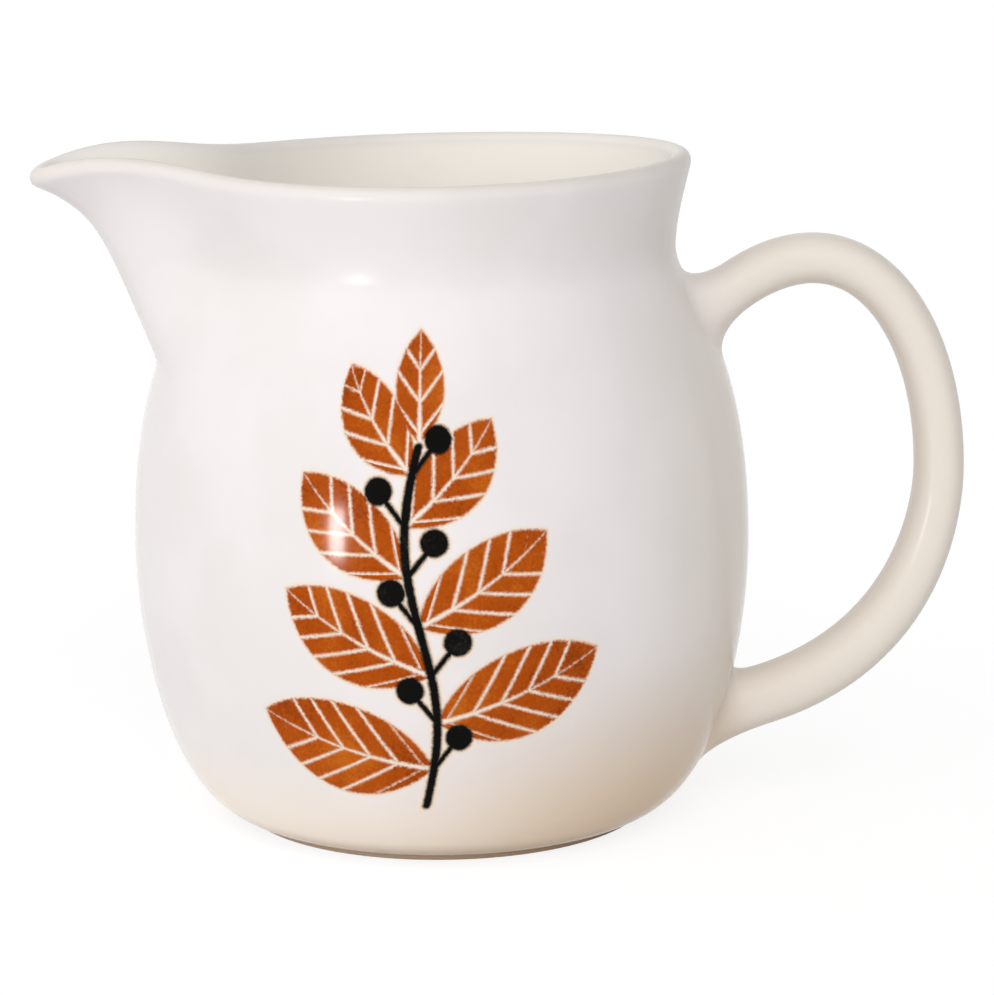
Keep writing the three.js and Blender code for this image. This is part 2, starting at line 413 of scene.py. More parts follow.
def new_object(name: str, data: bpy.types.ID) -> bpy.types.Object:
    """Puts a new object in the scene, at the origin."""
    made = bpy.data.objects.new(name, data)
    bpy.context.scene.collection.objects.link(made)
    return made


def new_tree(
    name: str, inputs: dict[str, float], output: str, kind: str = "GeometryNodeTree"
) -> tuple[bpy.types.NodeTree, SimpleNamespace, bpy.types.Node]:
    """Starts a node tree with one named float input per size.

    Args:
        name: Name of the tree.
        inputs: Input names and their values.
        output: Socket type of the one output.
        kind: Blender's name for the kind of tree.

    Returns:
        The tree, its inputs as fields, and its output node.
    """
    tree = bpy.data.node_groups.new(name, kind)
    for label, value in inputs.items():
        socket = tree.interface.new_socket(label, in_out="INPUT", socket_type="NodeSocketFloat")
        socket.default_value = value
    tree.interface.new_socket("made", in_out="OUTPUT", socket_type=output)
    start = add_node(tree, "NodeGroupInput")
    given = SimpleNamespace(**{label: Field(start.outputs[label]) for label in inputs})
    return tree, given, add_node(tree, "NodeGroupOutput")


def grid_fields(
    tree: bpy.types.NodeTree, columns: int, rows: int
) -> tuple[Field, Field, Field]:
    """Adds a grid to bend into a surface.

    Args:
        tree: Tree that gets the grid.
        columns: Steps across.
        rows: Steps up.

    Returns:
        The mesh, the place across from 0 to 1, and the row number.
    """
    counts = {"Size X": 1.0, "Size Y": 1.0, "Vertices X": columns + 1, "Vertices Y": rows + 1}
    mesh = Field(add_node(tree, "GeometryNodeMeshGrid", counts).outputs["Mesh"])
    place = Field(add_node(tree, "GeometryNodeInputPosition").outputs[0])
    parts = add_node(tree, "ShaderNodeSeparateXYZ", {0: place})
    return mesh, Field(parts.outputs[0]) + 0.5, (Field(parts.outputs[1]) + 0.5) * float(rows)


def close_tree(
    tree: bpy.types.NodeTree, end: bpy.types.Node, mesh: Field, material: bpy.types.Material
) -> None:
    """Ends a tree: merges the seam, smooths, realizes and sets the material.

    Args:
        tree: Tree to end.
        end: Its output node.
        mesh: Bent grid.
        material: Finish of the whole mesh.
    """
    merged = add_node(
        tree, "GeometryNodeMergeByDistance", {"Geometry": mesh, "Distance": SEAM_MERGE}
    )
    smooth = add_node(tree, "GeometryNodeSetShadeSmooth", {0: Field(merged.outputs[0])})
    real = add_node(tree, "GeometryNodeRealizeInstances", {0: Field(smooth.outputs[0])})
    dressed = add_node(
        tree,
        "GeometryNodeSetMaterial",
        {"Geometry": Field(real.outputs[0]), "Material": material},
    )
    tree.links.new(dressed.outputs[0], end.inputs[0])


def evaluated_piece(name: str, tree: bpy.types.GeometryNodeTree) -> bpy.types.Object:
    """Runs a node tree and keeps its result as a plain mesh.

    Args:
        name: Name of the piece.
        tree: Tree that makes the mesh from the values of its inputs.

    Returns:
        The piece, with no modifier left on it.
    """
    piece = new_object(name, bpy.data.meshes.new(name))
    modifier = piece.modifiers.new("shape", "NODES")
    modifier.node_group = tree
    for item in tree.interface.items_tree:
        if item.in_out == "INPUT":
            modifier[item.identifier] = item.default_value
    graph = bpy.context.evaluated_depsgraph_get()
    mesh = bpy.data.meshes.new_from_object(piece.evaluated_get(graph), depsgraph=graph)
    piece.modifiers.remove(modifier)
    piece.data = mesh
    mesh.name = name
    return piece


Ring = list[bmesh.types.BMVert]


def bridge(shape: bmesh.types.BMesh, ring: Ring, further: Ring, slot: int = 0) -> None:
    """Joins two rings with faces.

    Args:
        shape: Shape that holds the rings.
        ring: Points of the first ring, in order.
        further: As many points of the second one.
        slot: Material slot of the faces.
    """
    for side in range(len(ring)):
        corners = (ring[side - 1], ring[side], further[side], further[side - 1])
        shape.faces.new(corners).material_index = slot


def cap(shape: bmesh.types.BMesh, ring: Ring, middle: Vector) -> bmesh.types.BMVert:
    """Closes a ring with a fan of faces.

    Args:
        shape: Shape that holds the ring.
        ring: Points of the ring, in order.
        middle: Place where the fan's faces meet.

    Returns:
        The new point there.
    """
    pole = shape.verts.new(middle)
    for side in range(len(ring)):
        shape.faces.new((ring[side - 1], ring[side], pole))
    return pole


def finish_mesh(piece: bpy.types.Object, shape: bmesh.types.BMesh) -> None:
    """Writes an edited shape back: faces out, smooth, with its hard edges marked.

    Args:
        piece: Object that gets the shape.
        shape: Closed shape, freed here.
    """
    bmesh.ops.recalc_face_normals(shape, faces=shape.faces)
    for face in shape.faces:
        face.smooth = True
    shape.to_mesh(piece.data)
    shape.free()
    piece.data.set_sharp_from_angle(angle=SHARP_ANGLE)


def seat(piece: bpy.types.Object, slot: str, *nodes: str) -> None:
    """Makes a piece ride on the jug and stand for its solids.

    Args:
        piece: Finished piece.
        slot: Not used.
        nodes: Solids that it stands for.
    """
    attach(piece, Body.ROOT.value)
    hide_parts(*nodes)
    LOG.info("%s: %d faces for %s", piece.name, len(piece.data.polygons), ", ".join(nodes))


def empty_tree(owner: Union[bpy.types.Material, bpy.types.World]) -> bpy.types.NodeTree:
    """Gives a material or a world a node tree with nothing in it yet."""
    owner.use_nodes = True
    owner.node_tree.nodes.clear()
    return owner.node_tree


# Point attribute of the casting: the inside's share, the lip's share and a spare number
COAT = "coat"
OUTSIDE_COAT = (0.0, 0.0, 0.0)
INSIDE_COAT = (1.0, 0.0, 0.0)
COAT_START = 0.001

# Share and colour of a coat
Coat = tuple[Field, str]


def coated(tree: bpy.types.NodeTree, base: str, coats: Iterable[Coat]) -> Field:
    """Lays coats of colour on a base.

    Args:
        tree: Material's tree.
        base: Colour below the coats.
        coats: Share and colour of each coat, from the first to the last.

    Returns:
        The colour that shows.
    """
    colour = linear(base)
    for share, code in coats:
        links = {MIX_SHARE: share, MIX_FIRST: colour, MIX_SECOND: linear(code)}
        mix = add_node(tree, "ShaderNodeMix", links, data_type="RGBA")
        colour = Field(mix.outputs[MIX_RESULT])
    return colour


def close_material(tree: bpy.types.NodeTree, relief: Field, depth: float, sockets: dict) -> None:
    """Ends a material with its bump, its shader and its output.

    Args:
        tree: Material's tree.
        relief: Height of the bump, from 0 to 1.
        depth: Depth of the bump, in millimetres.
        sockets: Values of the shader's sockets, by name.
    """
    bump = add_node(
        tree, "ShaderNodeBump", {"Strength": 1.0, "Distance": depth * MM, "Height": relief}
    )
    sockets = {**sockets, "Normal": Field(bump.outputs[0])}
    shader = add_node(tree, "ShaderNodeBsdfPrincipled", sockets)
    add_node(tree, "ShaderNodeOutputMaterial", {"Surface": Field(shader.outputs[0])})


@dataclass(frozen=True)
class Fade:
    """A colour that sets in between two values, in either order."""

    colour: str
    start: float
    end: float
    strength: float = 1.0

    def coat(self, value: Field, within: Number = 1.0) -> Coat:
        """Coat of this colour, by a value and within a share of the surface."""
        return eased(value, self.start, self.end) * within * self.strength, self.colour


@dataclass(frozen=True)
class Mottle:
    """An uneven pattern: the size of its blotches in millimetres, and how fine they break up."""

    size: float
    detail: float

    def inputs(self, place: Field) -> dict:
        """Inputs of the pattern's node, by the place in millimetres."""
        return {"Vector": place, "Scale": 1 / self.size, "Detail": self.detail}


LEAF_INPUTS = ("across", "up", "base_across", "base_up", "turn", "length", "side")


@dataclass(frozen=True)
class Sprig:
    """Stencilled sprig of leaves and berries, sprayed under the glaze on the near side.

    Heights are above the table and widths are along the wall, in millimetres. The eye gets clean
    stencilled edges with a little fray and a pale halo, and colour that clouds as spray does. The
    grain of the spray is drawn coarser than a real one, so that it shows.
    """

    middle: float = -3.0
    foot: float = 13.0
    top: float = 78.0
    sway: float = 2.6
    stem_width: float = 1.7
    leaves: int = 7
    lowest_leaf: float = 21.0
    leaf_pitch: float = 8.6
    leaf_length: float = 33.0
    leaf_taper: float = 1.9
    leaf_slimness: float = 0.5
    leaf_bend: float = 0.16
    leaf_rise: float = math.radians(16)
    leaf_rise_step: float = math.radians(6.5)
    top_leaf_length: float = 18.0
    rib_width: float = 1.0
    vein_width: float = 0.55
    vein_pitch: float = 5.2
    vein_slant: float = 1.15
    vein_phase: float = 0.25
    veins_start: tuple[float, float] = (0.02, 0.06)
    veins_end: tuple[float, float] = (0.82, 0.76)
    berry_radius: float = 2.5
    berry_stalk: float = 7.5
    berry_rise: float = math.radians(52)
    stalk_width: float = 1.13
    edge_softness: float = 0.34
    rust_fray: float = 0.5
    black_fray: float = 0.4
    halo: Fade = Fade("#f6dcbe", 0.85, 0.0, 0.8)
    rust: str = "#b24e08"
    rust_light: Fade = Fade("#cb6c19", 0.5, 0.8, 0.8)
    rust_dark: Fade = Fade("#8c3803", 0.5, 0.2, 0.75)
    black: str = "#0a0908"
    black_thin: Fade = Fade("#34332b", 0.55, 0.8, 0.6)
    light_grain: float = 0.5
    dark_grain: float = 0.7
    thin_grain: float = 0.4
    grain: Mottle = Mottle(0.55, 2.0)
    cloud: Mottle = Mottle(9.0, 3.0)

    def stem_at(self, height: Number) -> Number:
        """Place of the stem across, at a height."""
        share = (height - self.foot) / (self.top - self.foot)
        return self.middle + self.sway * compute("SINE", share * (2.0 * math.pi))

    def leaf_group(self) -> bpy.types.ShaderNodeTree:
        """Builds the node group of one leaf.

        Returns:
            A group that gives the distance from a leaf's edge, below zero on the paint.
        """
        inputs = dict.fromkeys(LEAF_INPUTS, 0.0)
        tree, given, end = new_tree("sprig_leaf", inputs, "NodeSocketFloat", "ShaderNodeTree")

        # Along and across the leaf, whose mid line bends up towards its tip.
        right = given.across - given.base_across
        up = given.up - given.base_up
        cosine = compute("COSINE", given.turn)
        sine = compute("SINE", given.turn)
        along = right * cosine + up * sine
        bow = along * (given.length - along) / given.length * self.leaf_bend
        beside = abs(up * cosine - right * sine + bow * given.side)

        # Two arcs meet at the base and at the tip.
        half = given.length / 2.0
        half_width = half * self.leaf_slimness
        arc = (half * half + half_width * half_width) / (2.0 * half_width)
        off = beside + (arc - half_width)
        ahead = along - half
        edge = compute("SQRT", ahead * ahead + off * off) - arc

        # The stencil's bridges leave the mid rib and the veins bare.
        rib = self.rib_width / 2 * (1.0 - along / given.length) - beside
        root = along - beside * self.vein_slant
        ramp = compute("FRACT", root / self.vein_pitch + self.vein_phase)
        square_pitch = self.vein_pitch / math.hypot(1.0, self.vein_slant)
        vein = self.vein_width / 2 - abs(ramp - 0.5) * square_pitch
        share = root / given.length
        kept = eased(share, *self.veins_start) * eased(share, *self.veins_end)
        vein = vein - (1.0 - kept) * self.vein_width
        bare = compute("MAXIMUM", rib, vein)
        tree.links.new(compute("MAXIMUM", edge, bare).socket, end.inputs[0])
        return tree

    def leaf_places(self) -> Iterable[tuple[float, float, float, float, float]]:
        """Works out where the leaves are.

        Yields:
            Base across, base up, turn, length and side of each leaf.
        """
        for leaf in range(self.leaves):
            side = 1.0 if leaf % 2 else -1.0
            up = self.lowest_leaf + self.leaf_pitch * leaf
            rise = self.leaf_rise + self.leaf_rise_step * leaf
            turn = rise if side > 0 else math.pi - rise
            yield self.stem_at(up), up, turn, self.leaf_length - self.leaf_taper * leaf, side
        yield self.stem_at(self.top), self.top, math.pi / 2, self.top_leaf_length, 0.0

    def rust_distance(self, tree: bpy.types.NodeTree, across: Field, up: Field) -> Field:
        """Distance from the leaves' edges."""
        group = self.leaf_group()
        nearest = None
        for leaf_place in self.leaf_places():
            links = dict(zip(LEAF_INPUTS, (across, up, *leaf_place)))
            leaf = Field(add_node(tree, "ShaderNodeGroup", links, node_tree=group).outputs[0])
            nearest = leaf if nearest is None else compute("MINIMUM", nearest, leaf)
        return nearest

    def black_distance(self, across: Field, up: Field) -> Field:
        """Distance from the edges of the stem, the stalks and the berries."""
        middle = (self.foot + self.top) / 2
        half = (self.top - self.foot - self.stem_width) / 2
        past = compute("MAXIMUM", abs(up - middle) - half, 0.0)
        off = across - self.stem_at(up)
        nearest = compute("SQRT", off * off + past * past) - self.stem_width / 2
        for base_across, base_up, _, _, side in self.leaf_places():
            # The top leaf, which has no side, has no berry.
            if not side:
                continue
            right = -side * self.berry_stalk * math.cos(self.berry_rise)
            rise = self.berry_stalk * math.sin(self.berry_rise)
            share = clamped(
                ((across - base_across) * right + (up - base_up) * rise) / self.berry_stalk ** 2
            )
            stalk = self.point_distance(
                across, up, base_across + right * share, base_up + rise * share
            )
            berry = self.point_distance(across, up, base_across + right, base_up + rise)
            nearest = compute("MINIMUM", nearest, stalk - self.stalk_width / 2)
            nearest = compute("MINIMUM", nearest, berry - self.berry_radius)
        return nearest

    @staticmethod
    def point_distance(across: Field, up: Field, to_across: Number, to_up: Number) -> Field:
        """Distance from a point on the wall."""
        right = across - to_across
        rise = up - to_up
        return compute("SQRT", right * right + rise * rise)

    def coats(
        self, tree: bpy.types.NodeTree, place: Field, across: Field, up: Field, shown: Field
    ) -> list[Coat]:
        """Coats of colour, from the first sprayed to the last.

        Args:
            tree: Material's tree.
            place: Object coordinates in millimetres.
            across: Way along the wall from the near side's middle.
            up: Height above the table.
            shown: 1 where the wall's outer face is.

        Returns:
            The share and the colour of each coat.
        """
        grain = add_node(tree, "ShaderNodeTexNoise", self.grain.inputs(place))
        cloud = add_node(tree, "ShaderNodeTexNoise", self.cloud.inputs(place))
        speck = Field(grain.outputs[0]) - 0.5
        drift = Field(cloud.outputs[0])
        leaves = self.rust_distance(tree, across, up) + speck * self.rust_fray
        dark = self.black_distance(across, up) + speck * self.black_fray
        soft = self.edge_softness
        rust = eased(leaves, soft, -soft) * shown
        black = eased(dark, soft, -soft) * shown
        return [
            self.halo.coat(compute("MINIMUM", leaves, dark), shown),
            (rust, self.rust),
            self.rust_light.coat(drift + speck * self.light_grain, rust),
            self.rust_dark.coat(drift + speck * self.dark_grain, rust),
            (black, self.black),
            self.black_thin.coat(drift + speck * self.thin_grain, black),
        ]


@dataclass(frozen=True)
class Glaze:
    """Clear glossy glaze fired on off-white earthenware.

    The eye gets a wet shine that ripples a little and turns satin where the glaze ran thin at
    the neck, and a white that drifts from pinkish on the near side to cream round the handle.
    Low down the colour holds painted light: paler painted bounce light from the floor, a warm
    beige painted shade and painted table reflection towards the handle side, and a brown painted
    contact shadow along the foot. Its coats set in by height, or by the place towards the handle,
    in millimetres.
    """

    white: str = "#f4eeee"
    drift: Fade = Fade("#efeae8", 0.35, 0.65)
    cream: Fade = Fade("#efe6db", 18.0, 52.0)
    # Painted light: paler towards the bottom, a painted bounce of light from the floor.
    painted_floor_bounce: Fade = Fade("#fbf0e3", 24.0, 2.0)
    # Painted light: a warm beige painted shade and painted table reflection, darker towards the
    # bottom.
    heel: Fade = Fade("#e4ccb0", 44.0, 1.0)
    # Where round the jug that painted warm shade sets in and fades out again, by the place towards
    # the handle.
    painted_warmth_rise: tuple[float, float] = (-30.0, 30.0)
    painted_warmth_fall: tuple[float, float] = (48.0, 35.0)
    # Painted light: a brown painted contact shadow along the foot, darker towards the bottom.
    painted_contact_shadow: Fade = Fade("#b89a7b", 5.4, 1.0, 0.8)
    lip: str = "#e5dcd2"
    lip_strength: float = 0.6
    inside: str = "#f6f1e9"
    patches: Mottle = Mottle(26.0, 3.0)
    ripple: Mottle = Mottle(12.0, 1.0)
    ripple_depth: float = 0.02
    roughness: float = 0.12
    thin_roughness: float = 0.25
    thin_start: float = 88.0
    thin_end: float = 101.0
    ior: float = 1.5
    shine: float = 0.05
    axis: float = 0.0
    girth: float = 56.1
    sprig: Optional[Sprig] = None

    def material(self, name: str) -> bpy.types.Material:
        """Builds the glaze.

        Args:
            name: Name of the material.

        Returns:
            The material.
        """
        made = bpy.data.materials.new(name)
        tree = empty_tree(made)
        place = Field(add_node(tree, "ShaderNodeTexCoord").outputs["Object"]) * PER_METRE
        parts = add_node(tree, "ShaderNodeSeparateXYZ", {0: place})
        right, back, up = (Field(socket) for socket in parts.outputs)
        coat = add_node(tree, "ShaderNodeAttribute", attribute_name=COAT)
        shares = add_node(tree, "ShaderNodeSeparateXYZ", {0: Field(coat.outputs["Vector"])})
        within, lip = Field(shares.outputs[0]), Field(shares.outputs[1])
        patches = add_node(tree, "ShaderNodeTexNoise", self.patches.inputs(place))
        # Share of the painted warm shade and table reflection round the jug.
        painted_warmth_share = eased(right, *self.painted_warmth_rise) * eased(right, *self.painted_warmth_fall)
        coats = [
            self.drift.coat(Field(patches.outputs[0])),
            self.cream.coat(right),
            # Painted bounce light from the floor, paler towards the bottom.
            self.painted_floor_bounce.coat(up),
            # Painted warm shade and painted table reflection, low down towards the handle side.
            self.heel.coat(up, painted_warmth_share),
            # Painted contact shadow along the foot.
            self.painted_contact_shadow.coat(up),
            (lip * self.lip_strength, self.lip),
            (within, self.inside),
        ]
        if self.sprig:
            turn = compute("ARCTAN2", right - self.axis, 0.0 - back)
            outside = 1.0 - compute("GREATER_THAN", within + lip, COAT_START)
            coats += self.sprig.coats(tree, place, turn * self.girth, up, outside)
        thin = eased(up, self.thin_start, self.thin_end)
        sockets = {
            "Base Color": coated(tree, self.white, coats),
            "Roughness": mixed(self.roughness, self.thin_roughness, thin),
            "IOR": self.ior,
            "Specular IOR Level": self.shine,
        }
        ripple = add_node(tree, "ShaderNodeTexNoise", self.ripple.inputs(place))
        close_material(tree, Field(ripple.outputs[0]), self.ripple_depth, sockets)
        return made


@dataclass(frozen=True)
class Bisque:
    """Bare fired clay where the foot was wiped before the glaze firing.

    The eye gets a dry, chalky buff with grit, drawn coarser than a real one so that it shows,
    and a little grime.
    """

    clay: str = "#d8c9b2"
    grime: Fade = Fade("#a89678", 0.6, 0.9)
    grit: Mottle = Mottle(0.6, 2.0)
    patches: Mottle = Mottle(7.0, 4.0)
    grit_in_grime: float = 0.4
    grit_depth: float = 0.05
    roughness: float = 0.85

    def material(self, name: str) -> bpy.types.Material:
        """Builds the clay.

        Args:
            name: Name of the material.

        Returns:
            The material.
        """
        made = bpy.data.materials.new(name)
        tree = empty_tree(made)
        place = Field(add_node(tree, "ShaderNodeTexCoord").outputs["Object"]) * PER_METRE
        patches = add_node(tree, "ShaderNodeTexNoise", self.patches.inputs(place))
        grit = Field(add_node(tree, "ShaderNodeTexNoise", self.grit.inputs(place)).outputs[0])
        dirt = self.grime.coat(Field(patches.outputs[0]) + grit * self.grit_in_grime)
        sockets = {"Base Color": coated(tree, self.clay, [dirt]), "Roughness": self.roughness}
        close_material(tree, grit, self.grit_depth, sockets)
        return made


@dataclass(frozen=True)
class JugBody:
    """The casting: foot ring, floor, belly, shoulder, neck, rounded lip and spout."""

    size: WallSizes
    axis: float
    foot_ring_width: float = 4.2
    foot_recess: float = 1.4
    foot_edge: float = 0.45
    recess_rings: tuple[float, ...] = (0.98, 0.66, 0.33)
    inside_fade: float = 0.07
    inside_limits: tuple[float, float] = (0.5, 2.0)
    columns: int = 216
    crowding: float = 0.35
    outer_rows: int = 108
    lip_rows: int = 14
    inner_rows: int = 72
    edge_rows: int = 4
    floor_rows: int = 6

    def face_tree(self) -> bpy.types.GeometryNodeTree:
        """Builds the group that gives a point of the outer face.

        Returns:
            The group, with the wall's sizes, a station and an angle as inputs.
        """
        inputs = {**asdict(self.size), "station": 0.0, "angle": 0.0}
        tree, given, end = new_tree("outer_face", inputs, "NodeSocketVector")
        across, back, up = outer_point(given, given.station, given.angle)
        point = add_node(tree, "ShaderNodeCombineXYZ", {0: across, 1: back, 2: up})
        tree.links.new(point.outputs[0], end.inputs[0])
        return tree

    def wall_tree(self, material: bpy.types.Material) -> bpy.types.GeometryNodeTree:
        """Builds the tree of the wall: up the outer face, over the lip and down the inner one.

        Args:
            material: Finish of the wall.

        Returns:
            The tree.
        """
        inputs = {**asdict(self.size), "axis": self.axis}
        tree, given, end = new_tree("jug_wall", inputs, "NodeSocketGeometry")
        face = self.face_tree()
        rows = self.outer_rows + self.lip_rows + self.inner_rows
        mesh, across, row = grid_fields(tree, self.columns, rows)

        # Columns crowd together towards the spout and the handle.
        even = (across - 0.5) * (2.0 * math.pi)
        angle = even - compute("SINE", even * 2.0) * (self.crowding / 2)
        up_share = clamped(row / self.outer_rows)
        lip_share = clamped((row - self.outer_rows) / self.lip_rows)
        down_share = clamped((row - (self.outer_rows + self.lip_rows)) / self.inner_rows)
        station = (up_share - down_share) * float(OUTLINE_CURVES)

        def face_point(at_station: Field, at_angle: Field) -> Field:
            """Adds a call of the outer face's group."""
            links = {label: getattr(given, label) for label in asdict(self.size)}
            links.update(station=at_station, angle=at_angle)
            return Field(add_node(tree, "GeometryNodeGroup", links, node_tree=face).outputs[0])

        # Directions along the face give the way out of the wall and the way up it.
        ahead = face_point(station, angle + SLOPE_STEP) - face_point(station, angle - SLOPE_STEP)
        above = clamped((station + SLOPE_STEP) / OUTLINE_CURVES) * float(OUTLINE_CURVES)
        below = clamped((station - SLOPE_STEP) / OUTLINE_CURVES) * float(OUTLINE_CURVES)
        climb = face_point(above, angle) - face_point(below, angle)
        round_way = compute("NORMALIZE", ahead)
        out = compute("NORMALIZE", compute("CROSS_PRODUCT", round_way, climb))
        up = compute("CROSS_PRODUCT", out, round_way)

        # Half the wall is the lip's radius: its turn carries the outer face to the inner one.
        half = mixed(given.floor, given.wall, eased(station, 0.0, 1.0)) / 2.0
        turn = lip_share * math.pi
        point = face_point(station, angle)
        point = point + out * (half * (compute("COSINE", turn) - 1.0))
        point = point + up * (half * compute("SINE", turn))
        shift = add_node(tree, "ShaderNodeCombineXYZ", {0: given.axis})
        place = (point + Field(shift.outputs[0])) * MM

        # The coat is kept before the grid bends, while a place on it still tells the row.
        within = eased(lip_share + down_share / self.inside_fade, *self.inside_limits)
        coat = add_node(tree, "ShaderNodeCombineXYZ", {0: within, 1: compute("SINE", turn)})
        stored = add_node(
            tree,
            "GeometryNodeStoreNamedAttribute",
            {"Geometry": mesh, "Name": COAT, "Value": Field(coat.outputs[0])},
            data_type="FLOAT_VECTOR",
            domain="POINT",
        )
        bent = add_node(
            tree,
            "GeometryNodeSetPosition",
            {"Geometry": Field(stored.outputs[0]), "Position": place},
        )
        close_tree(tree, end, Field(bent.outputs[0]), material)
        return tree

    def foot_profile(self) -> list[tuple[float, float, bool]]:
        """Rows of the foot, from the heel down, across the ring and into the recess.

        Returns:
            Radius, height and whether the face that leads there is bare clay.
        """
        edge = self.foot_edge
        outside = self.size.foot_radius - edge
        inside = self.size.foot_radius - self.foot_ring_width
        turns = [math.pi / 2 * step / self.edge_rows for step in range(self.edge_rows + 1)]
        waves = [(edge * math.cos(turn), edge * math.sin(turn)) for turn in turns]
        rows = [(outside + cosine, edge - sine, True) for cosine, sine in waves]
        rows += [(inside + edge - sine, edge - cosine, True) for cosine, sine in waves]
        rows.append((inside, self.foot_recess, True))
        rows += [(inside * share, self.foot_recess, False) for share in self.recess_rings]
        return rows

    def lathe_on(
        self,
        shape: bmesh.types.BMesh,
        ring: Ring,
        rows: list[tuple[float, float, bool]],
        coat: tuple[float, float, float],
    ) -> None:
        """Carries a ring of points on to the axis and closes it there.

        Args:
            shape: Shape that holds the ring.
            ring: Points of the ring, in order round the jug.
            rows: Radius, height and bare clay of each further ring.
            coat: Coat shares of the new points.
        """
        layer = shape.verts.layers.float_vector[COAT]
        centre = Vector((self.axis * MM, 0, 0))
        angles = [math.atan2(vert.co.y, vert.co.x - centre.x) for vert in ring]
        for radius, height, bare in rows:
            further = []
            for angle in angles:
                way = Vector((math.cos(angle) * radius, math.sin(angle) * radius, height))
                further.append(shape.verts.new(centre + way * MM))
                further[-1][layer] = coat
            bridge(shape, ring, further, int(bare))
            ring = further
        cap(shape, ring, centre + Vector((0, 0, rows[-1][1] * MM)))[layer] = coat

    def build(self, glaze: bpy.types.Material, clay: bpy.types.Material) -> bpy.types.Object:
        """Makes the whole casting as one closed mesh.

        Args:
            glaze: Finish of the wall and floor.
            clay: Finish of the foot ring.

        Returns:
            The piece.
        """
        piece = evaluated_piece("jug_body_glazed", self.wall_tree(glaze))
        piece.data.materials.append(clay)
        shape = bmesh.new()
        shape.from_mesh(piece.data)
        open_ends = {vert for edge in shape.edges if edge.is_boundary for vert in edge.verts}
        split = (self.size.foot_height + self.size.floor / 2) * MM
        by_angle = sorted(
            open_ends, key=lambda vert: math.atan2(vert.co.y, vert.co.x - self.axis * MM)
        )
        foot = [vert for vert in by_angle if vert.co.z < split]
        floor = [vert for vert in by_angle if vert.co.z >= split]
        self.lathe_on(shape, foot, self.foot_profile(), OUTSIDE_COAT)
        height = floor[0].co.z / MM
        radius = (floor[0].co - Vector((self.axis * MM, 0, floor[0].co.z))).length / MM
        steps = range(self.floor_rows - 1, 0, -1)
        rings = [(radius * step / self.floor_rows, height, False) for step in steps]
        self.lathe_on(shape, floor, rings, INSIDE_COAT)
        finish_mesh(piece, shape)
        return piece

    def dress(self, sprig: Sprig) -> tuple[bpy.types.Material, bpy.types.Material]:
        """Makes the casting's finishes.

        Args:
            sprig: Decoration of the near side.

        Returns:
            The glaze and the bare clay.
        """
        glaze = Glaze(axis=self.axis, girth=self.size.belly_radius, sprig=sprig)
        return glaze.material("glazed_earthenware"), Bisque().material("bare_earthenware")


@dataclass(frozen=True)
class LoopSizes:
    """Sizes of the handle, in millimetres and radians, the same as in the solids."""

    thickness: float = 9.0
    lower_thickness: float = 10.6
    width: float = 13.0
    section_power: float = 2.3
    bulge_out: float = 0.0
    bulge_up: float = 0.0
    bulge_pull_up: float = 29.9
    bulge_pull_down: float = 9.1
    upper_out: float = 0.0
    upper_up: float = 0.0
    upper_angle: float = math.radians(43.5)
    upper_pull: float = 33.9
    lower_out: float = 0.0
    lower_up: float = 0.0
    lower_angle: float = math.radians(10)
    lower_pull: float = 36.0


AnyLoop = Union[LoopSizes, SimpleNamespace]
LOOP_CURVES = 2


def loop_centre(size: AnyLoop, station: Number) -> tuple[Number, Number]:
    """Point on the handle's centre line, from the shoulder round to the lower belly.

    Args:
        size: Sizes of the handle, as numbers or as fields.
        station: Place on the line, from 0 at the upper root to 2 at the lower one.

    Returns:
        Distance out from the jug's axis, and height.
    """
    upper = (size.upper_out, size.upper_up)
    lower = (size.lower_out, size.lower_up)
    bulge = (size.bulge_out, size.bulge_up)
    upper_leave = (
        size.upper_out + size.upper_pull * compute("COSINE", size.upper_angle),
        size.upper_up + size.upper_pull * compute("SINE", size.upper_angle),
    )
    lower_arrive = (
        size.lower_out + size.lower_pull * compute("COSINE", size.lower_angle),
        size.lower_up + size.lower_pull * compute("SINE", size.lower_angle),
    )
    above = (size.bulge_out, size.bulge_up + size.bulge_pull_up)
    below = (size.bulge_out, size.bulge_up - size.bulge_pull_down)
    upper_curve = [upper, upper_leave, above, bulge]
    lower_curve = [bulge, below, lower_arrive, lower]
    return chain_point([upper_curve, lower_curve], station)


def loop_heading(size: AnyLoop, station: Number) -> tuple[Number, Number]:
    """Direction of the handle's centre line, of unit length."""
    out_ahead, up_ahead = loop_centre(size, station + SLOPE_STEP)
    out_behind, up_behind = loop_centre(size, station - SLOPE_STEP)
    out, up = out_ahead - out_behind, up_ahead - up_behind
    length = (out * out + up * up) ** 0.5
    return out / length, up / length


def loop_point(
    size: AnyLoop, station: Number, turn: Number, swell: Number
) -> tuple[Number, Number, Number]:
    """Point on the handle's surface.

    Args:
        size: Sizes of the handle, as numbers or as fields.
        station: Place on the centre line.
        turn: Place round the section, from its outer side.
        swell: Scale of the section: 0 shrinks it to the centre line.

    Returns:
        Coordinates from the jug's axis, in millimetres.
    """
    out, up = loop_centre(size, station)
    heading_out, heading_up = loop_heading(size, station)
    thickness = mixed(size.thickness, size.lower_thickness, eased(station, 1.0, 2.0))

    def rounded(wave: Number) -> Number:
        """Squares the wave off a little, as the section is."""
        return compute("SIGN", wave) * abs(wave) ** (2.0 / size.section_power)

    outwards = rounded(compute("COSINE", turn)) * thickness / 2.0 * swell
    across = rounded(compute("SINE", turn)) * size.width / 2.0 * swell
    return out - heading_up * outwards, 0.0 - across, up + heading_out * outwards


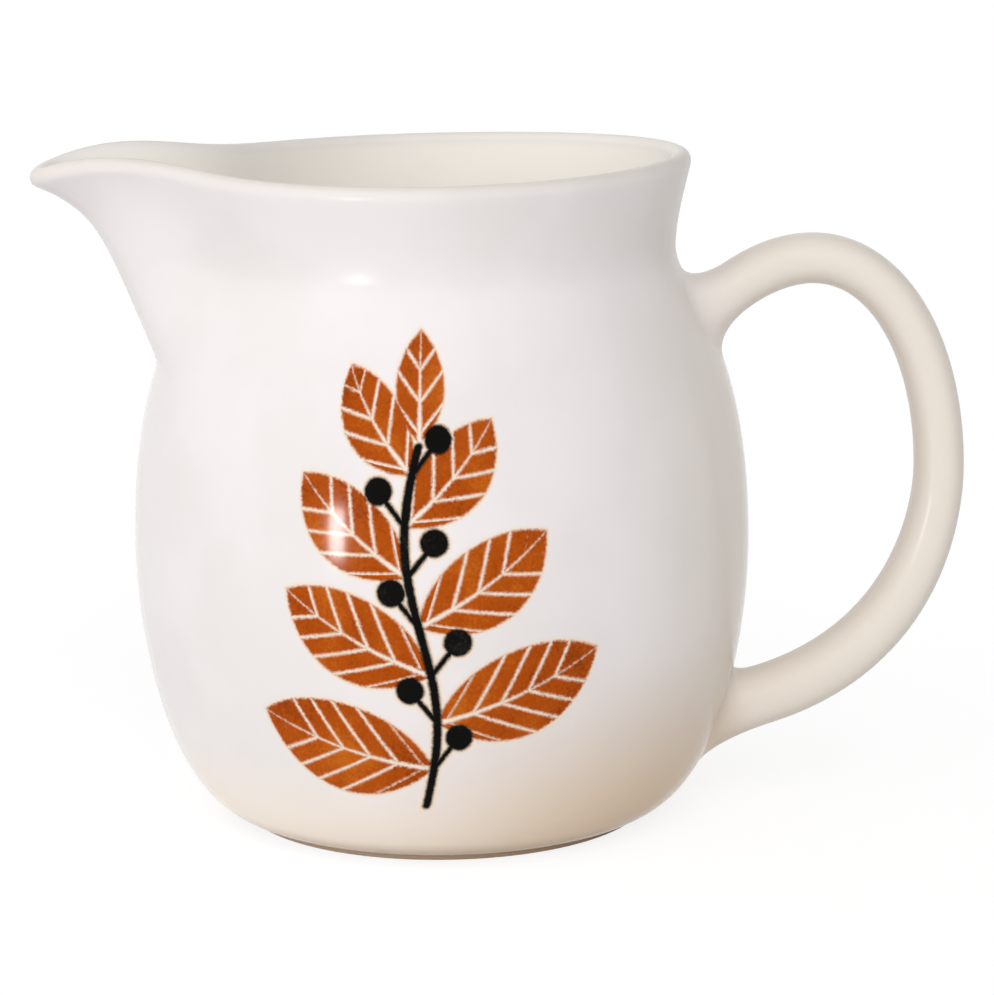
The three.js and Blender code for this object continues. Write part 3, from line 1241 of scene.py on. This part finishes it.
@dataclass(frozen=True)
class Handle:
    """The loop handle, cast on its own, between its two luted joints."""

    size: LoopSizes
    axis: float
    start: float
    end: float
    sides: int = 56
    rings: int = 132

    def tree(self, material: bpy.types.Material) -> bpy.types.GeometryNodeTree:
        """Builds the tree that sweeps the section along the centre line.

        Args:
            material: Finish of the handle.

        Returns:
            The tree.
        """
        inputs = {**asdict(self.size), "axis": self.axis, "start": self.start, "end": self.end}
        tree, given, end = new_tree("loop_handle", inputs, "NodeSocketGeometry")

        # The first and the last row shrink to the centre line and close the ends.
        rows = self.rings + 2
        mesh, across, row = grid_fields(tree, self.sides, rows)
        ring = clamped((row - 1.0) / self.rings)
        station = given.start + (given.end - given.start) * ring
        open_row = compute("GREATER_THAN", row, 0.5) * compute("GREATER_THAN", rows - 0.5, row)
        point = loop_point(given, station, across * (2.0 * math.pi), open_row)
        place = add_node(
            tree, "ShaderNodeCombineXYZ", {0: point[0] + given.axis, 1: point[1], 2: point[2]}
        )
        metres = Field(place.outputs[0]) * MM
        bent = add_node(tree, "GeometryNodeSetPosition", {"Geometry": mesh, "Position": metres})
        close_tree(tree, end, Field(bent.outputs[0]), material)
        return tree

    def build(self, glaze: bpy.types.Material) -> bpy.types.Object:
        """Makes the loop as one closed mesh.

        Args:
            glaze: Finish of the handle.

        Returns:
            The piece.
        """
        piece = evaluated_piece("loop_handle_glazed", self.tree(glaze))
        shape = bmesh.new()
        shape.from_mesh(piece.data)
        finish_mesh(piece, shape)
        return piece


@dataclass(frozen=True)
class FilletSizes:
    """Reach of a joint's fillet along the wall, in millimetres."""

    outer: float
    inner: float
    side: float

    def at(self, turn: float) -> float:
        """Reach at a turn round the handle's section, from its outer side."""
        outer = max(0.0, math.cos(turn)) ** 2
        inner = max(0.0, -math.cos(turn)) ** 2
        return self.side + (self.outer - self.side) * outer + (self.inner - self.side) * inner


@dataclass(frozen=True)
class LutedJoint:
    """Root of the handle: slip smoothed into a fillet between the loop and the wall."""

    root: Root
    wall: WallSizes
    loop: LoopSizes
    axis: float
    station: float
    fillet: FilletSizes
    sides: int = 56
    rows: int = 18
    fullness: float = 0.62
    sink: float = 0.35
    core_sink: float = 1.2
    reach: float = 30.0

    def landing(self, start: Vector, way: Vector) -> Vector:
        """Finds where a line meets the wall.

        Args:
            start: Point outside the wall.
            way: Unit direction towards it.

        Returns:
            The point on the outer face.
        """
        def depth(distance: float) -> float:
            """Depth below the outline at a distance along the line."""
            point = start + way * distance
            return outline_radius(self.wall, point.z) - math.hypot(point.x, point.y)

        met = start + way * lowest_share(depth, 0.0, 0.0, self.reach)
        return wall_point(self.wall, met.z, round_angle(met))

    def wall_normal(self, point: Vector) -> Vector:
        """Direction out of the wall at a point on its outer face."""
        angle = round_angle(point)
        step = SLOPE_STEP * self.wall.belly_radius
        above = wall_point(self.wall, point.z + step, angle)
        below = wall_point(self.wall, point.z - step, angle)
        ahead = wall_point(self.wall, point.z, angle + SLOPE_STEP)
        behind = wall_point(self.wall, point.z, angle - SLOPE_STEP)
        return (ahead - behind).cross(above - below).normalized()

    def rings(self) -> tuple[list[list[Vector]], Vector, Vector]:
        """Works out the joint's rings, from the loop to the wall.

        Returns:
            The rings, the middle of the loop's end and the middle of the wall's end.
        """
        heading_out, heading_up = loop_heading(self.loop, self.station)
        way = Vector((heading_out, 0, heading_up))
        if self.root is Root.UPPER:
            way = -way
        turns = [2 * math.pi * side / self.sides for side in range(self.sides)]
        starts = [Vector(loop_point(self.loop, self.station, turn, 1.0)) for turn in turns]
        corners = [self.landing(start, way) for start in starts]
        middle = sum(corners, Vector()) / self.sides
        ends = []
        for turn, corner in zip(turns, corners):
            normal = self.wall_normal(corner)
            aside = corner - middle
            aside = (aside - normal * aside.dot(normal)).normalized()
            spread = corner + aside * self.fillet.at(turn)
            ends.append(wall_point(self.wall, spread.z, round_angle(spread)))
        normals = [self.wall_normal(end) for end in ends]

        # A cubic curve leaves each point along the loop and arrives along the wall.
        rings = []
        for row in range(self.rows + 1):
            share = row / self.rows
            ring = []
            for start, corner, end, normal in zip(starts, corners, ends, normals):
                back = corner - end
                leave = start.lerp(corner, self.fullness)
                arrive = end + (back - normal * back.dot(normal)) * self.fullness
                first = start.lerp(leave, share)
                second = leave.lerp(arrive, share)
                third = arrive.lerp(end, share)
                ring.append(first.lerp(second, share).lerp(second.lerp(third, share), share))
            rings.append(ring)

        # The last ring and the middle of the wall's end sink into the wall, so that no edge shows.
        rings.append([end - normal * self.sink for end, normal in zip(ends, normals)])
        core = wall_point(self.wall, middle.z, round_angle(middle))
        loop_out, loop_up = loop_centre(self.loop, self.station)
        return rings, Vector((loop_out, 0, loop_up)), core - self.wall_normal(core) * self.core_sink

    def build(self, glaze: bpy.types.Material) -> bpy.types.Object:
        """Makes the joint as one closed mesh.

        Args:
            glaze: Finish of the joint.

        Returns:
            The piece.
        """
        rings, loop_middle, wall_middle = self.rings()
        shift = Vector((self.axis, 0, 0))
        shape = bmesh.new()
        made = [[shape.verts.new((point + shift) * MM) for point in ring] for ring in rings]
        for ring, further in zip(made, made[1:]):
            bridge(shape, ring, further)
        for ring, middle in ((made[0], loop_middle), (made[-1], wall_middle)):
            cap(shape, ring, (middle + shift) * MM)
        name = f"{self.root.value}_joint_glazed"
        piece = new_object(name, bpy.data.meshes.new(name))
        piece.data.materials.append(glaze)
        finish_mesh(piece, shape)
        return piece


@dataclass(frozen=True)
class Window:
    """A window that faces the jug and shows in the glaze alone, in metres and watts."""

    name: str
    place: tuple[float, float, float]
    width: float
    height: float
    power: float
    colour: str = "#ffffff"

    def build(self, target: Vector) -> None:
        """Sets the window.

        Args:
            target: Point that it faces.
        """
        lamp = bpy.data.lights.new(self.name, "AREA")
        lamp.shape = "RECTANGLE"
        lamp.size = self.width
        lamp.size_y = self.height
        lamp.energy = self.power
        lamp.color = linear(self.colour)[:3]
        holder = new_object(self.name, lamp)
        holder.location = self.place
        holder.rotation_euler = (target - Vector(self.place)).to_track_quat("-Z", "Y").to_euler()
        holder.visible_camera = False
        holder.visible_diffuse = False


@dataclass(frozen=True)
class SkyGlow:
    """A soft bright side of the room, which fades all round its middle."""

    direction: tuple[float, float, float]
    strength: float
    tightness: float = 5.0


@dataclass(frozen=True)
class Studio:
    """Plain pale floor, the soft light of a room, a window and the camera, in metres."""

    floor_radius: float = 24.0
    floor_sides: int = 96
    floor_white: float = 0.84
    shadow_depth: float = 0.27
    floor_glow: float = 0.84
    sky: str = "#ffffff"
    sky_strength: float = 0.072
    backdrop: float = 1.0
    glows: tuple[SkyGlow, ...] = (
        SkyGlow((0.12, -0.83, 0.54), 3.6, 14.0),
        SkyGlow((0.35, -0.4, 0.85), 0.34, 6.0),
        SkyGlow((-0.68, -0.72, 0.15), 1.36),
        SkyGlow((-1.0, 0.0, 0.25), 0.8, 4.0),
        SkyGlow((-0.7, 0.7, 0.3), 0.7),
        SkyGlow((0.0, 1.0, 0.3), 0.4),
        SkyGlow((0.7, 0.7, 0.3), 0.05),
        SkyGlow((0.0, 0.0, 1.0), 0.1, 2.0),
    )
    target: tuple[float, float, float] = (-0.011, 0.0, 0.062)
    window: Window = Window("front_window", (-0.285, -0.385, 0.044), 0.042, 0.07, 2.1)
    camera_place: tuple[float, float, float] = (-0.00104, -0.64301, 0.19156)
    camera_tilt: float = math.radians(-11.778)
    camera_roll: float = math.radians(-0.5)
    focal_pixels: float = 3585.3
    image_width: int = 994
    sensor_width: float = 36.0

    @staticmethod
    def backdrop_rays(tree: bpy.types.NodeTree) -> Field:
        """1 on the rays that show the backdrop as white, 0 on those that carry its light."""
        rays = add_node(tree, "ShaderNodeLightPath")
        seen = Field(rays.outputs["Is Camera Ray"])
        for name in ("Is Glossy Ray", "Is Transmission Ray"):
            seen = compute("MAXIMUM", seen, Field(rays.outputs[name]))
        return seen

    def build_floor(self) -> None:
        """Lays the floor, which looks white and keeps the jug's shadow."""
        shape = bmesh.new()
        bmesh.ops.create_circle(
            shape, cap_ends=True, segments=self.floor_sides, radius=self.floor_radius
        )
        mesh = bpy.data.meshes.new("floor")
        shape.to_mesh(mesh)
        shape.free()
        made = bpy.data.materials.new("matt_floor")
        tree = empty_tree(made)

        # To the eye most of the floor's white is a glow, and the rest is lit and keeps the shadow.
        seen = self.backdrop_rays(tree)
        white = compute("MULTIPLY", mixed(1.0, self.shadow_depth, seen), self.floor_white)
        matt = add_node(tree, "ShaderNodeBsdfDiffuse", {"Color": white})
        glow = add_node(tree, "ShaderNodeEmission", {"Strength": seen * self.floor_glow})
        both = add_node(
            tree, "ShaderNodeAddShader", {0: Field(matt.outputs[0]), 1: Field(glow.outputs[0])}
        )
        add_node(tree, "ShaderNodeOutputMaterial", {"Surface": Field(both.outputs[0])})
        mesh.materials.append(made)
        new_object("floor", mesh)

    def build_sky(self) -> None:
        """Sets the light of the room, and the white that the eye sees of it."""
        world = bpy.data.worlds.new("room")
        tree = empty_tree(world)
        way = Field(add_node(tree, "ShaderNodeTexCoord").outputs["Generated"])
        total = self.sky_strength
        for glow in self.glows:
            facing = add_node(
                tree,
                "ShaderNodeVectorMath",
                {0: way, 1: Vector(glow.direction).normalized()},
                operation="DOT_PRODUCT",
            )
            share = compute("MAXIMUM", Field(facing.outputs["Value"]), 0.0)
            total = share ** glow.tightness * glow.strength + total
        strength = mixed(total, self.backdrop, self.backdrop_rays(tree))
        light = add_node(
            tree, "ShaderNodeBackground", {"Color": linear(self.sky), "Strength": strength}
        )
        add_node(tree, "ShaderNodeOutputWorld", {"Surface": Field(light.outputs[0])})
        bpy.context.scene.world = world

    def build_camera(self) -> None:
        """Stands the camera where the photograph was taken from."""
        camera = bpy.data.cameras.new("camera")
        camera.sensor_fit = "HORIZONTAL"
        camera.sensor_width = self.sensor_width
        camera.lens = self.focal_pixels * self.sensor_width / self.image_width
        holder = new_object("camera", camera)
        turn = Matrix.Rotation(math.pi / 2 + self.camera_tilt, 4, "X")
        turn = turn @ Matrix.Rotation(self.camera_roll, 4, "Z")
        holder.matrix_world = Matrix.Translation(self.camera_place) @ turn
        bpy.context.scene.camera = holder

    def build(self) -> None:
        """Sets the whole stage."""
        bpy.context.scene.view_settings.view_transform = "Standard"
        self.build_floor()
        self.build_sky()
        self.window.build(Vector(self.target))
        self.build_camera()
        LOG.info("studio: a room with %d bright sides and a window", len(self.glows))


@dataclass(frozen=True)
class MilkJug:
    """The whole jug: casting, loop handle and two luted joints."""

    finger_room: float = 30.3
    bulge_above_belly: float = 11.8
    upper_root_below_neck: float = 11.9
    lower_root_height: float = 18.0
    root_length: float = 8.5
    upper_fillet: FilletSizes = FilletSizes(outer=4.2, inner=5.4, side=6.0)
    lower_fillet: FilletSizes = FilletSizes(outer=4.0, inner=2.4, side=7.0)
    handle_roughness: float = 0.26
    wall: WallSizes = WallSizes()

    def full_wall(self) -> WallSizes:
        """Sizes of the wall, with the radius at the foot of the spout looked up."""
        neck = self.wall.belly_height + self.wall.shoulder_height
        radius = outline_radius(self.wall, neck - self.wall.spout_foot_below_neck)
        return replace(self.wall, spout_foot_radius=radius)

    def loop(self) -> LoopSizes:
        """Sizes of the handle, with its roots set on the wall."""
        wall = self.wall
        upper_up = wall.belly_height + wall.shoulder_height - self.upper_root_below_neck
        return LoopSizes(
            bulge_out=wall.belly_radius + self.finger_room + LoopSizes.thickness / 2,
            bulge_up=wall.belly_height + self.bulge_above_belly,
            upper_out=outline_radius(wall, upper_up),
            upper_up=upper_up,
            lower_out=outline_radius(wall, self.lower_root_height),
            lower_up=self.lower_root_height,
        )

    def root_station(self, loop: LoopSizes, root: Root) -> float:
        """Place on the handle's line where a root ends and the loop begins."""
        far = 0.0 if root is Root.UPPER else float(LOOP_CURVES)
        inward = 1.0 if root is Root.UPPER else -1.0
        start = Vector(loop_centre(loop, far))

        def away(share: float) -> float:
            """Distance from the root after a share of a curve."""
            return (Vector(loop_centre(loop, far + inward * share)) - start).length

        return far + inward * lowest_share(away, self.root_length, 0.0, 1.0)

    def build(self) -> None:
        """Makes, dresses and seats every piece."""
        wall = self.full_wall()
        loop = self.loop()
        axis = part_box("jug_body")[1].x / MM - wall.belly_radius
        body = JugBody(wall, axis)
        seat(body.build(*body.dress(Sprig())), "body_glaze", "jug_body")
        ends = {root: self.root_station(loop, root) for root in Root}
        handle = Handle(loop, axis, ends[Root.UPPER], ends[Root.LOWER])
        plain = Glaze(axis=axis, roughness=self.handle_roughness)
        seat(handle.build(plain.material("glazed_handle")), "handle_glaze", "handle")
        slip = plain.material("glazed_slip")
        fillets = {Root.UPPER: self.upper_fillet, Root.LOWER: self.lower_fillet}
        for root, fillet in fillets.items():
            joint = LutedJoint(root, wall, loop, axis, ends[root], fillet)
            seat(joint.build(slip), "joint_glaze", f"{root.value}_slip_joint")


def main() -> None:
    """Builds the jug and its stage."""
    logging.basicConfig(level=logging.INFO, format="%(name)s: %(message)s")
    MilkJug().build()
    Studio().build()


if __name__ == "__main__":
    main()
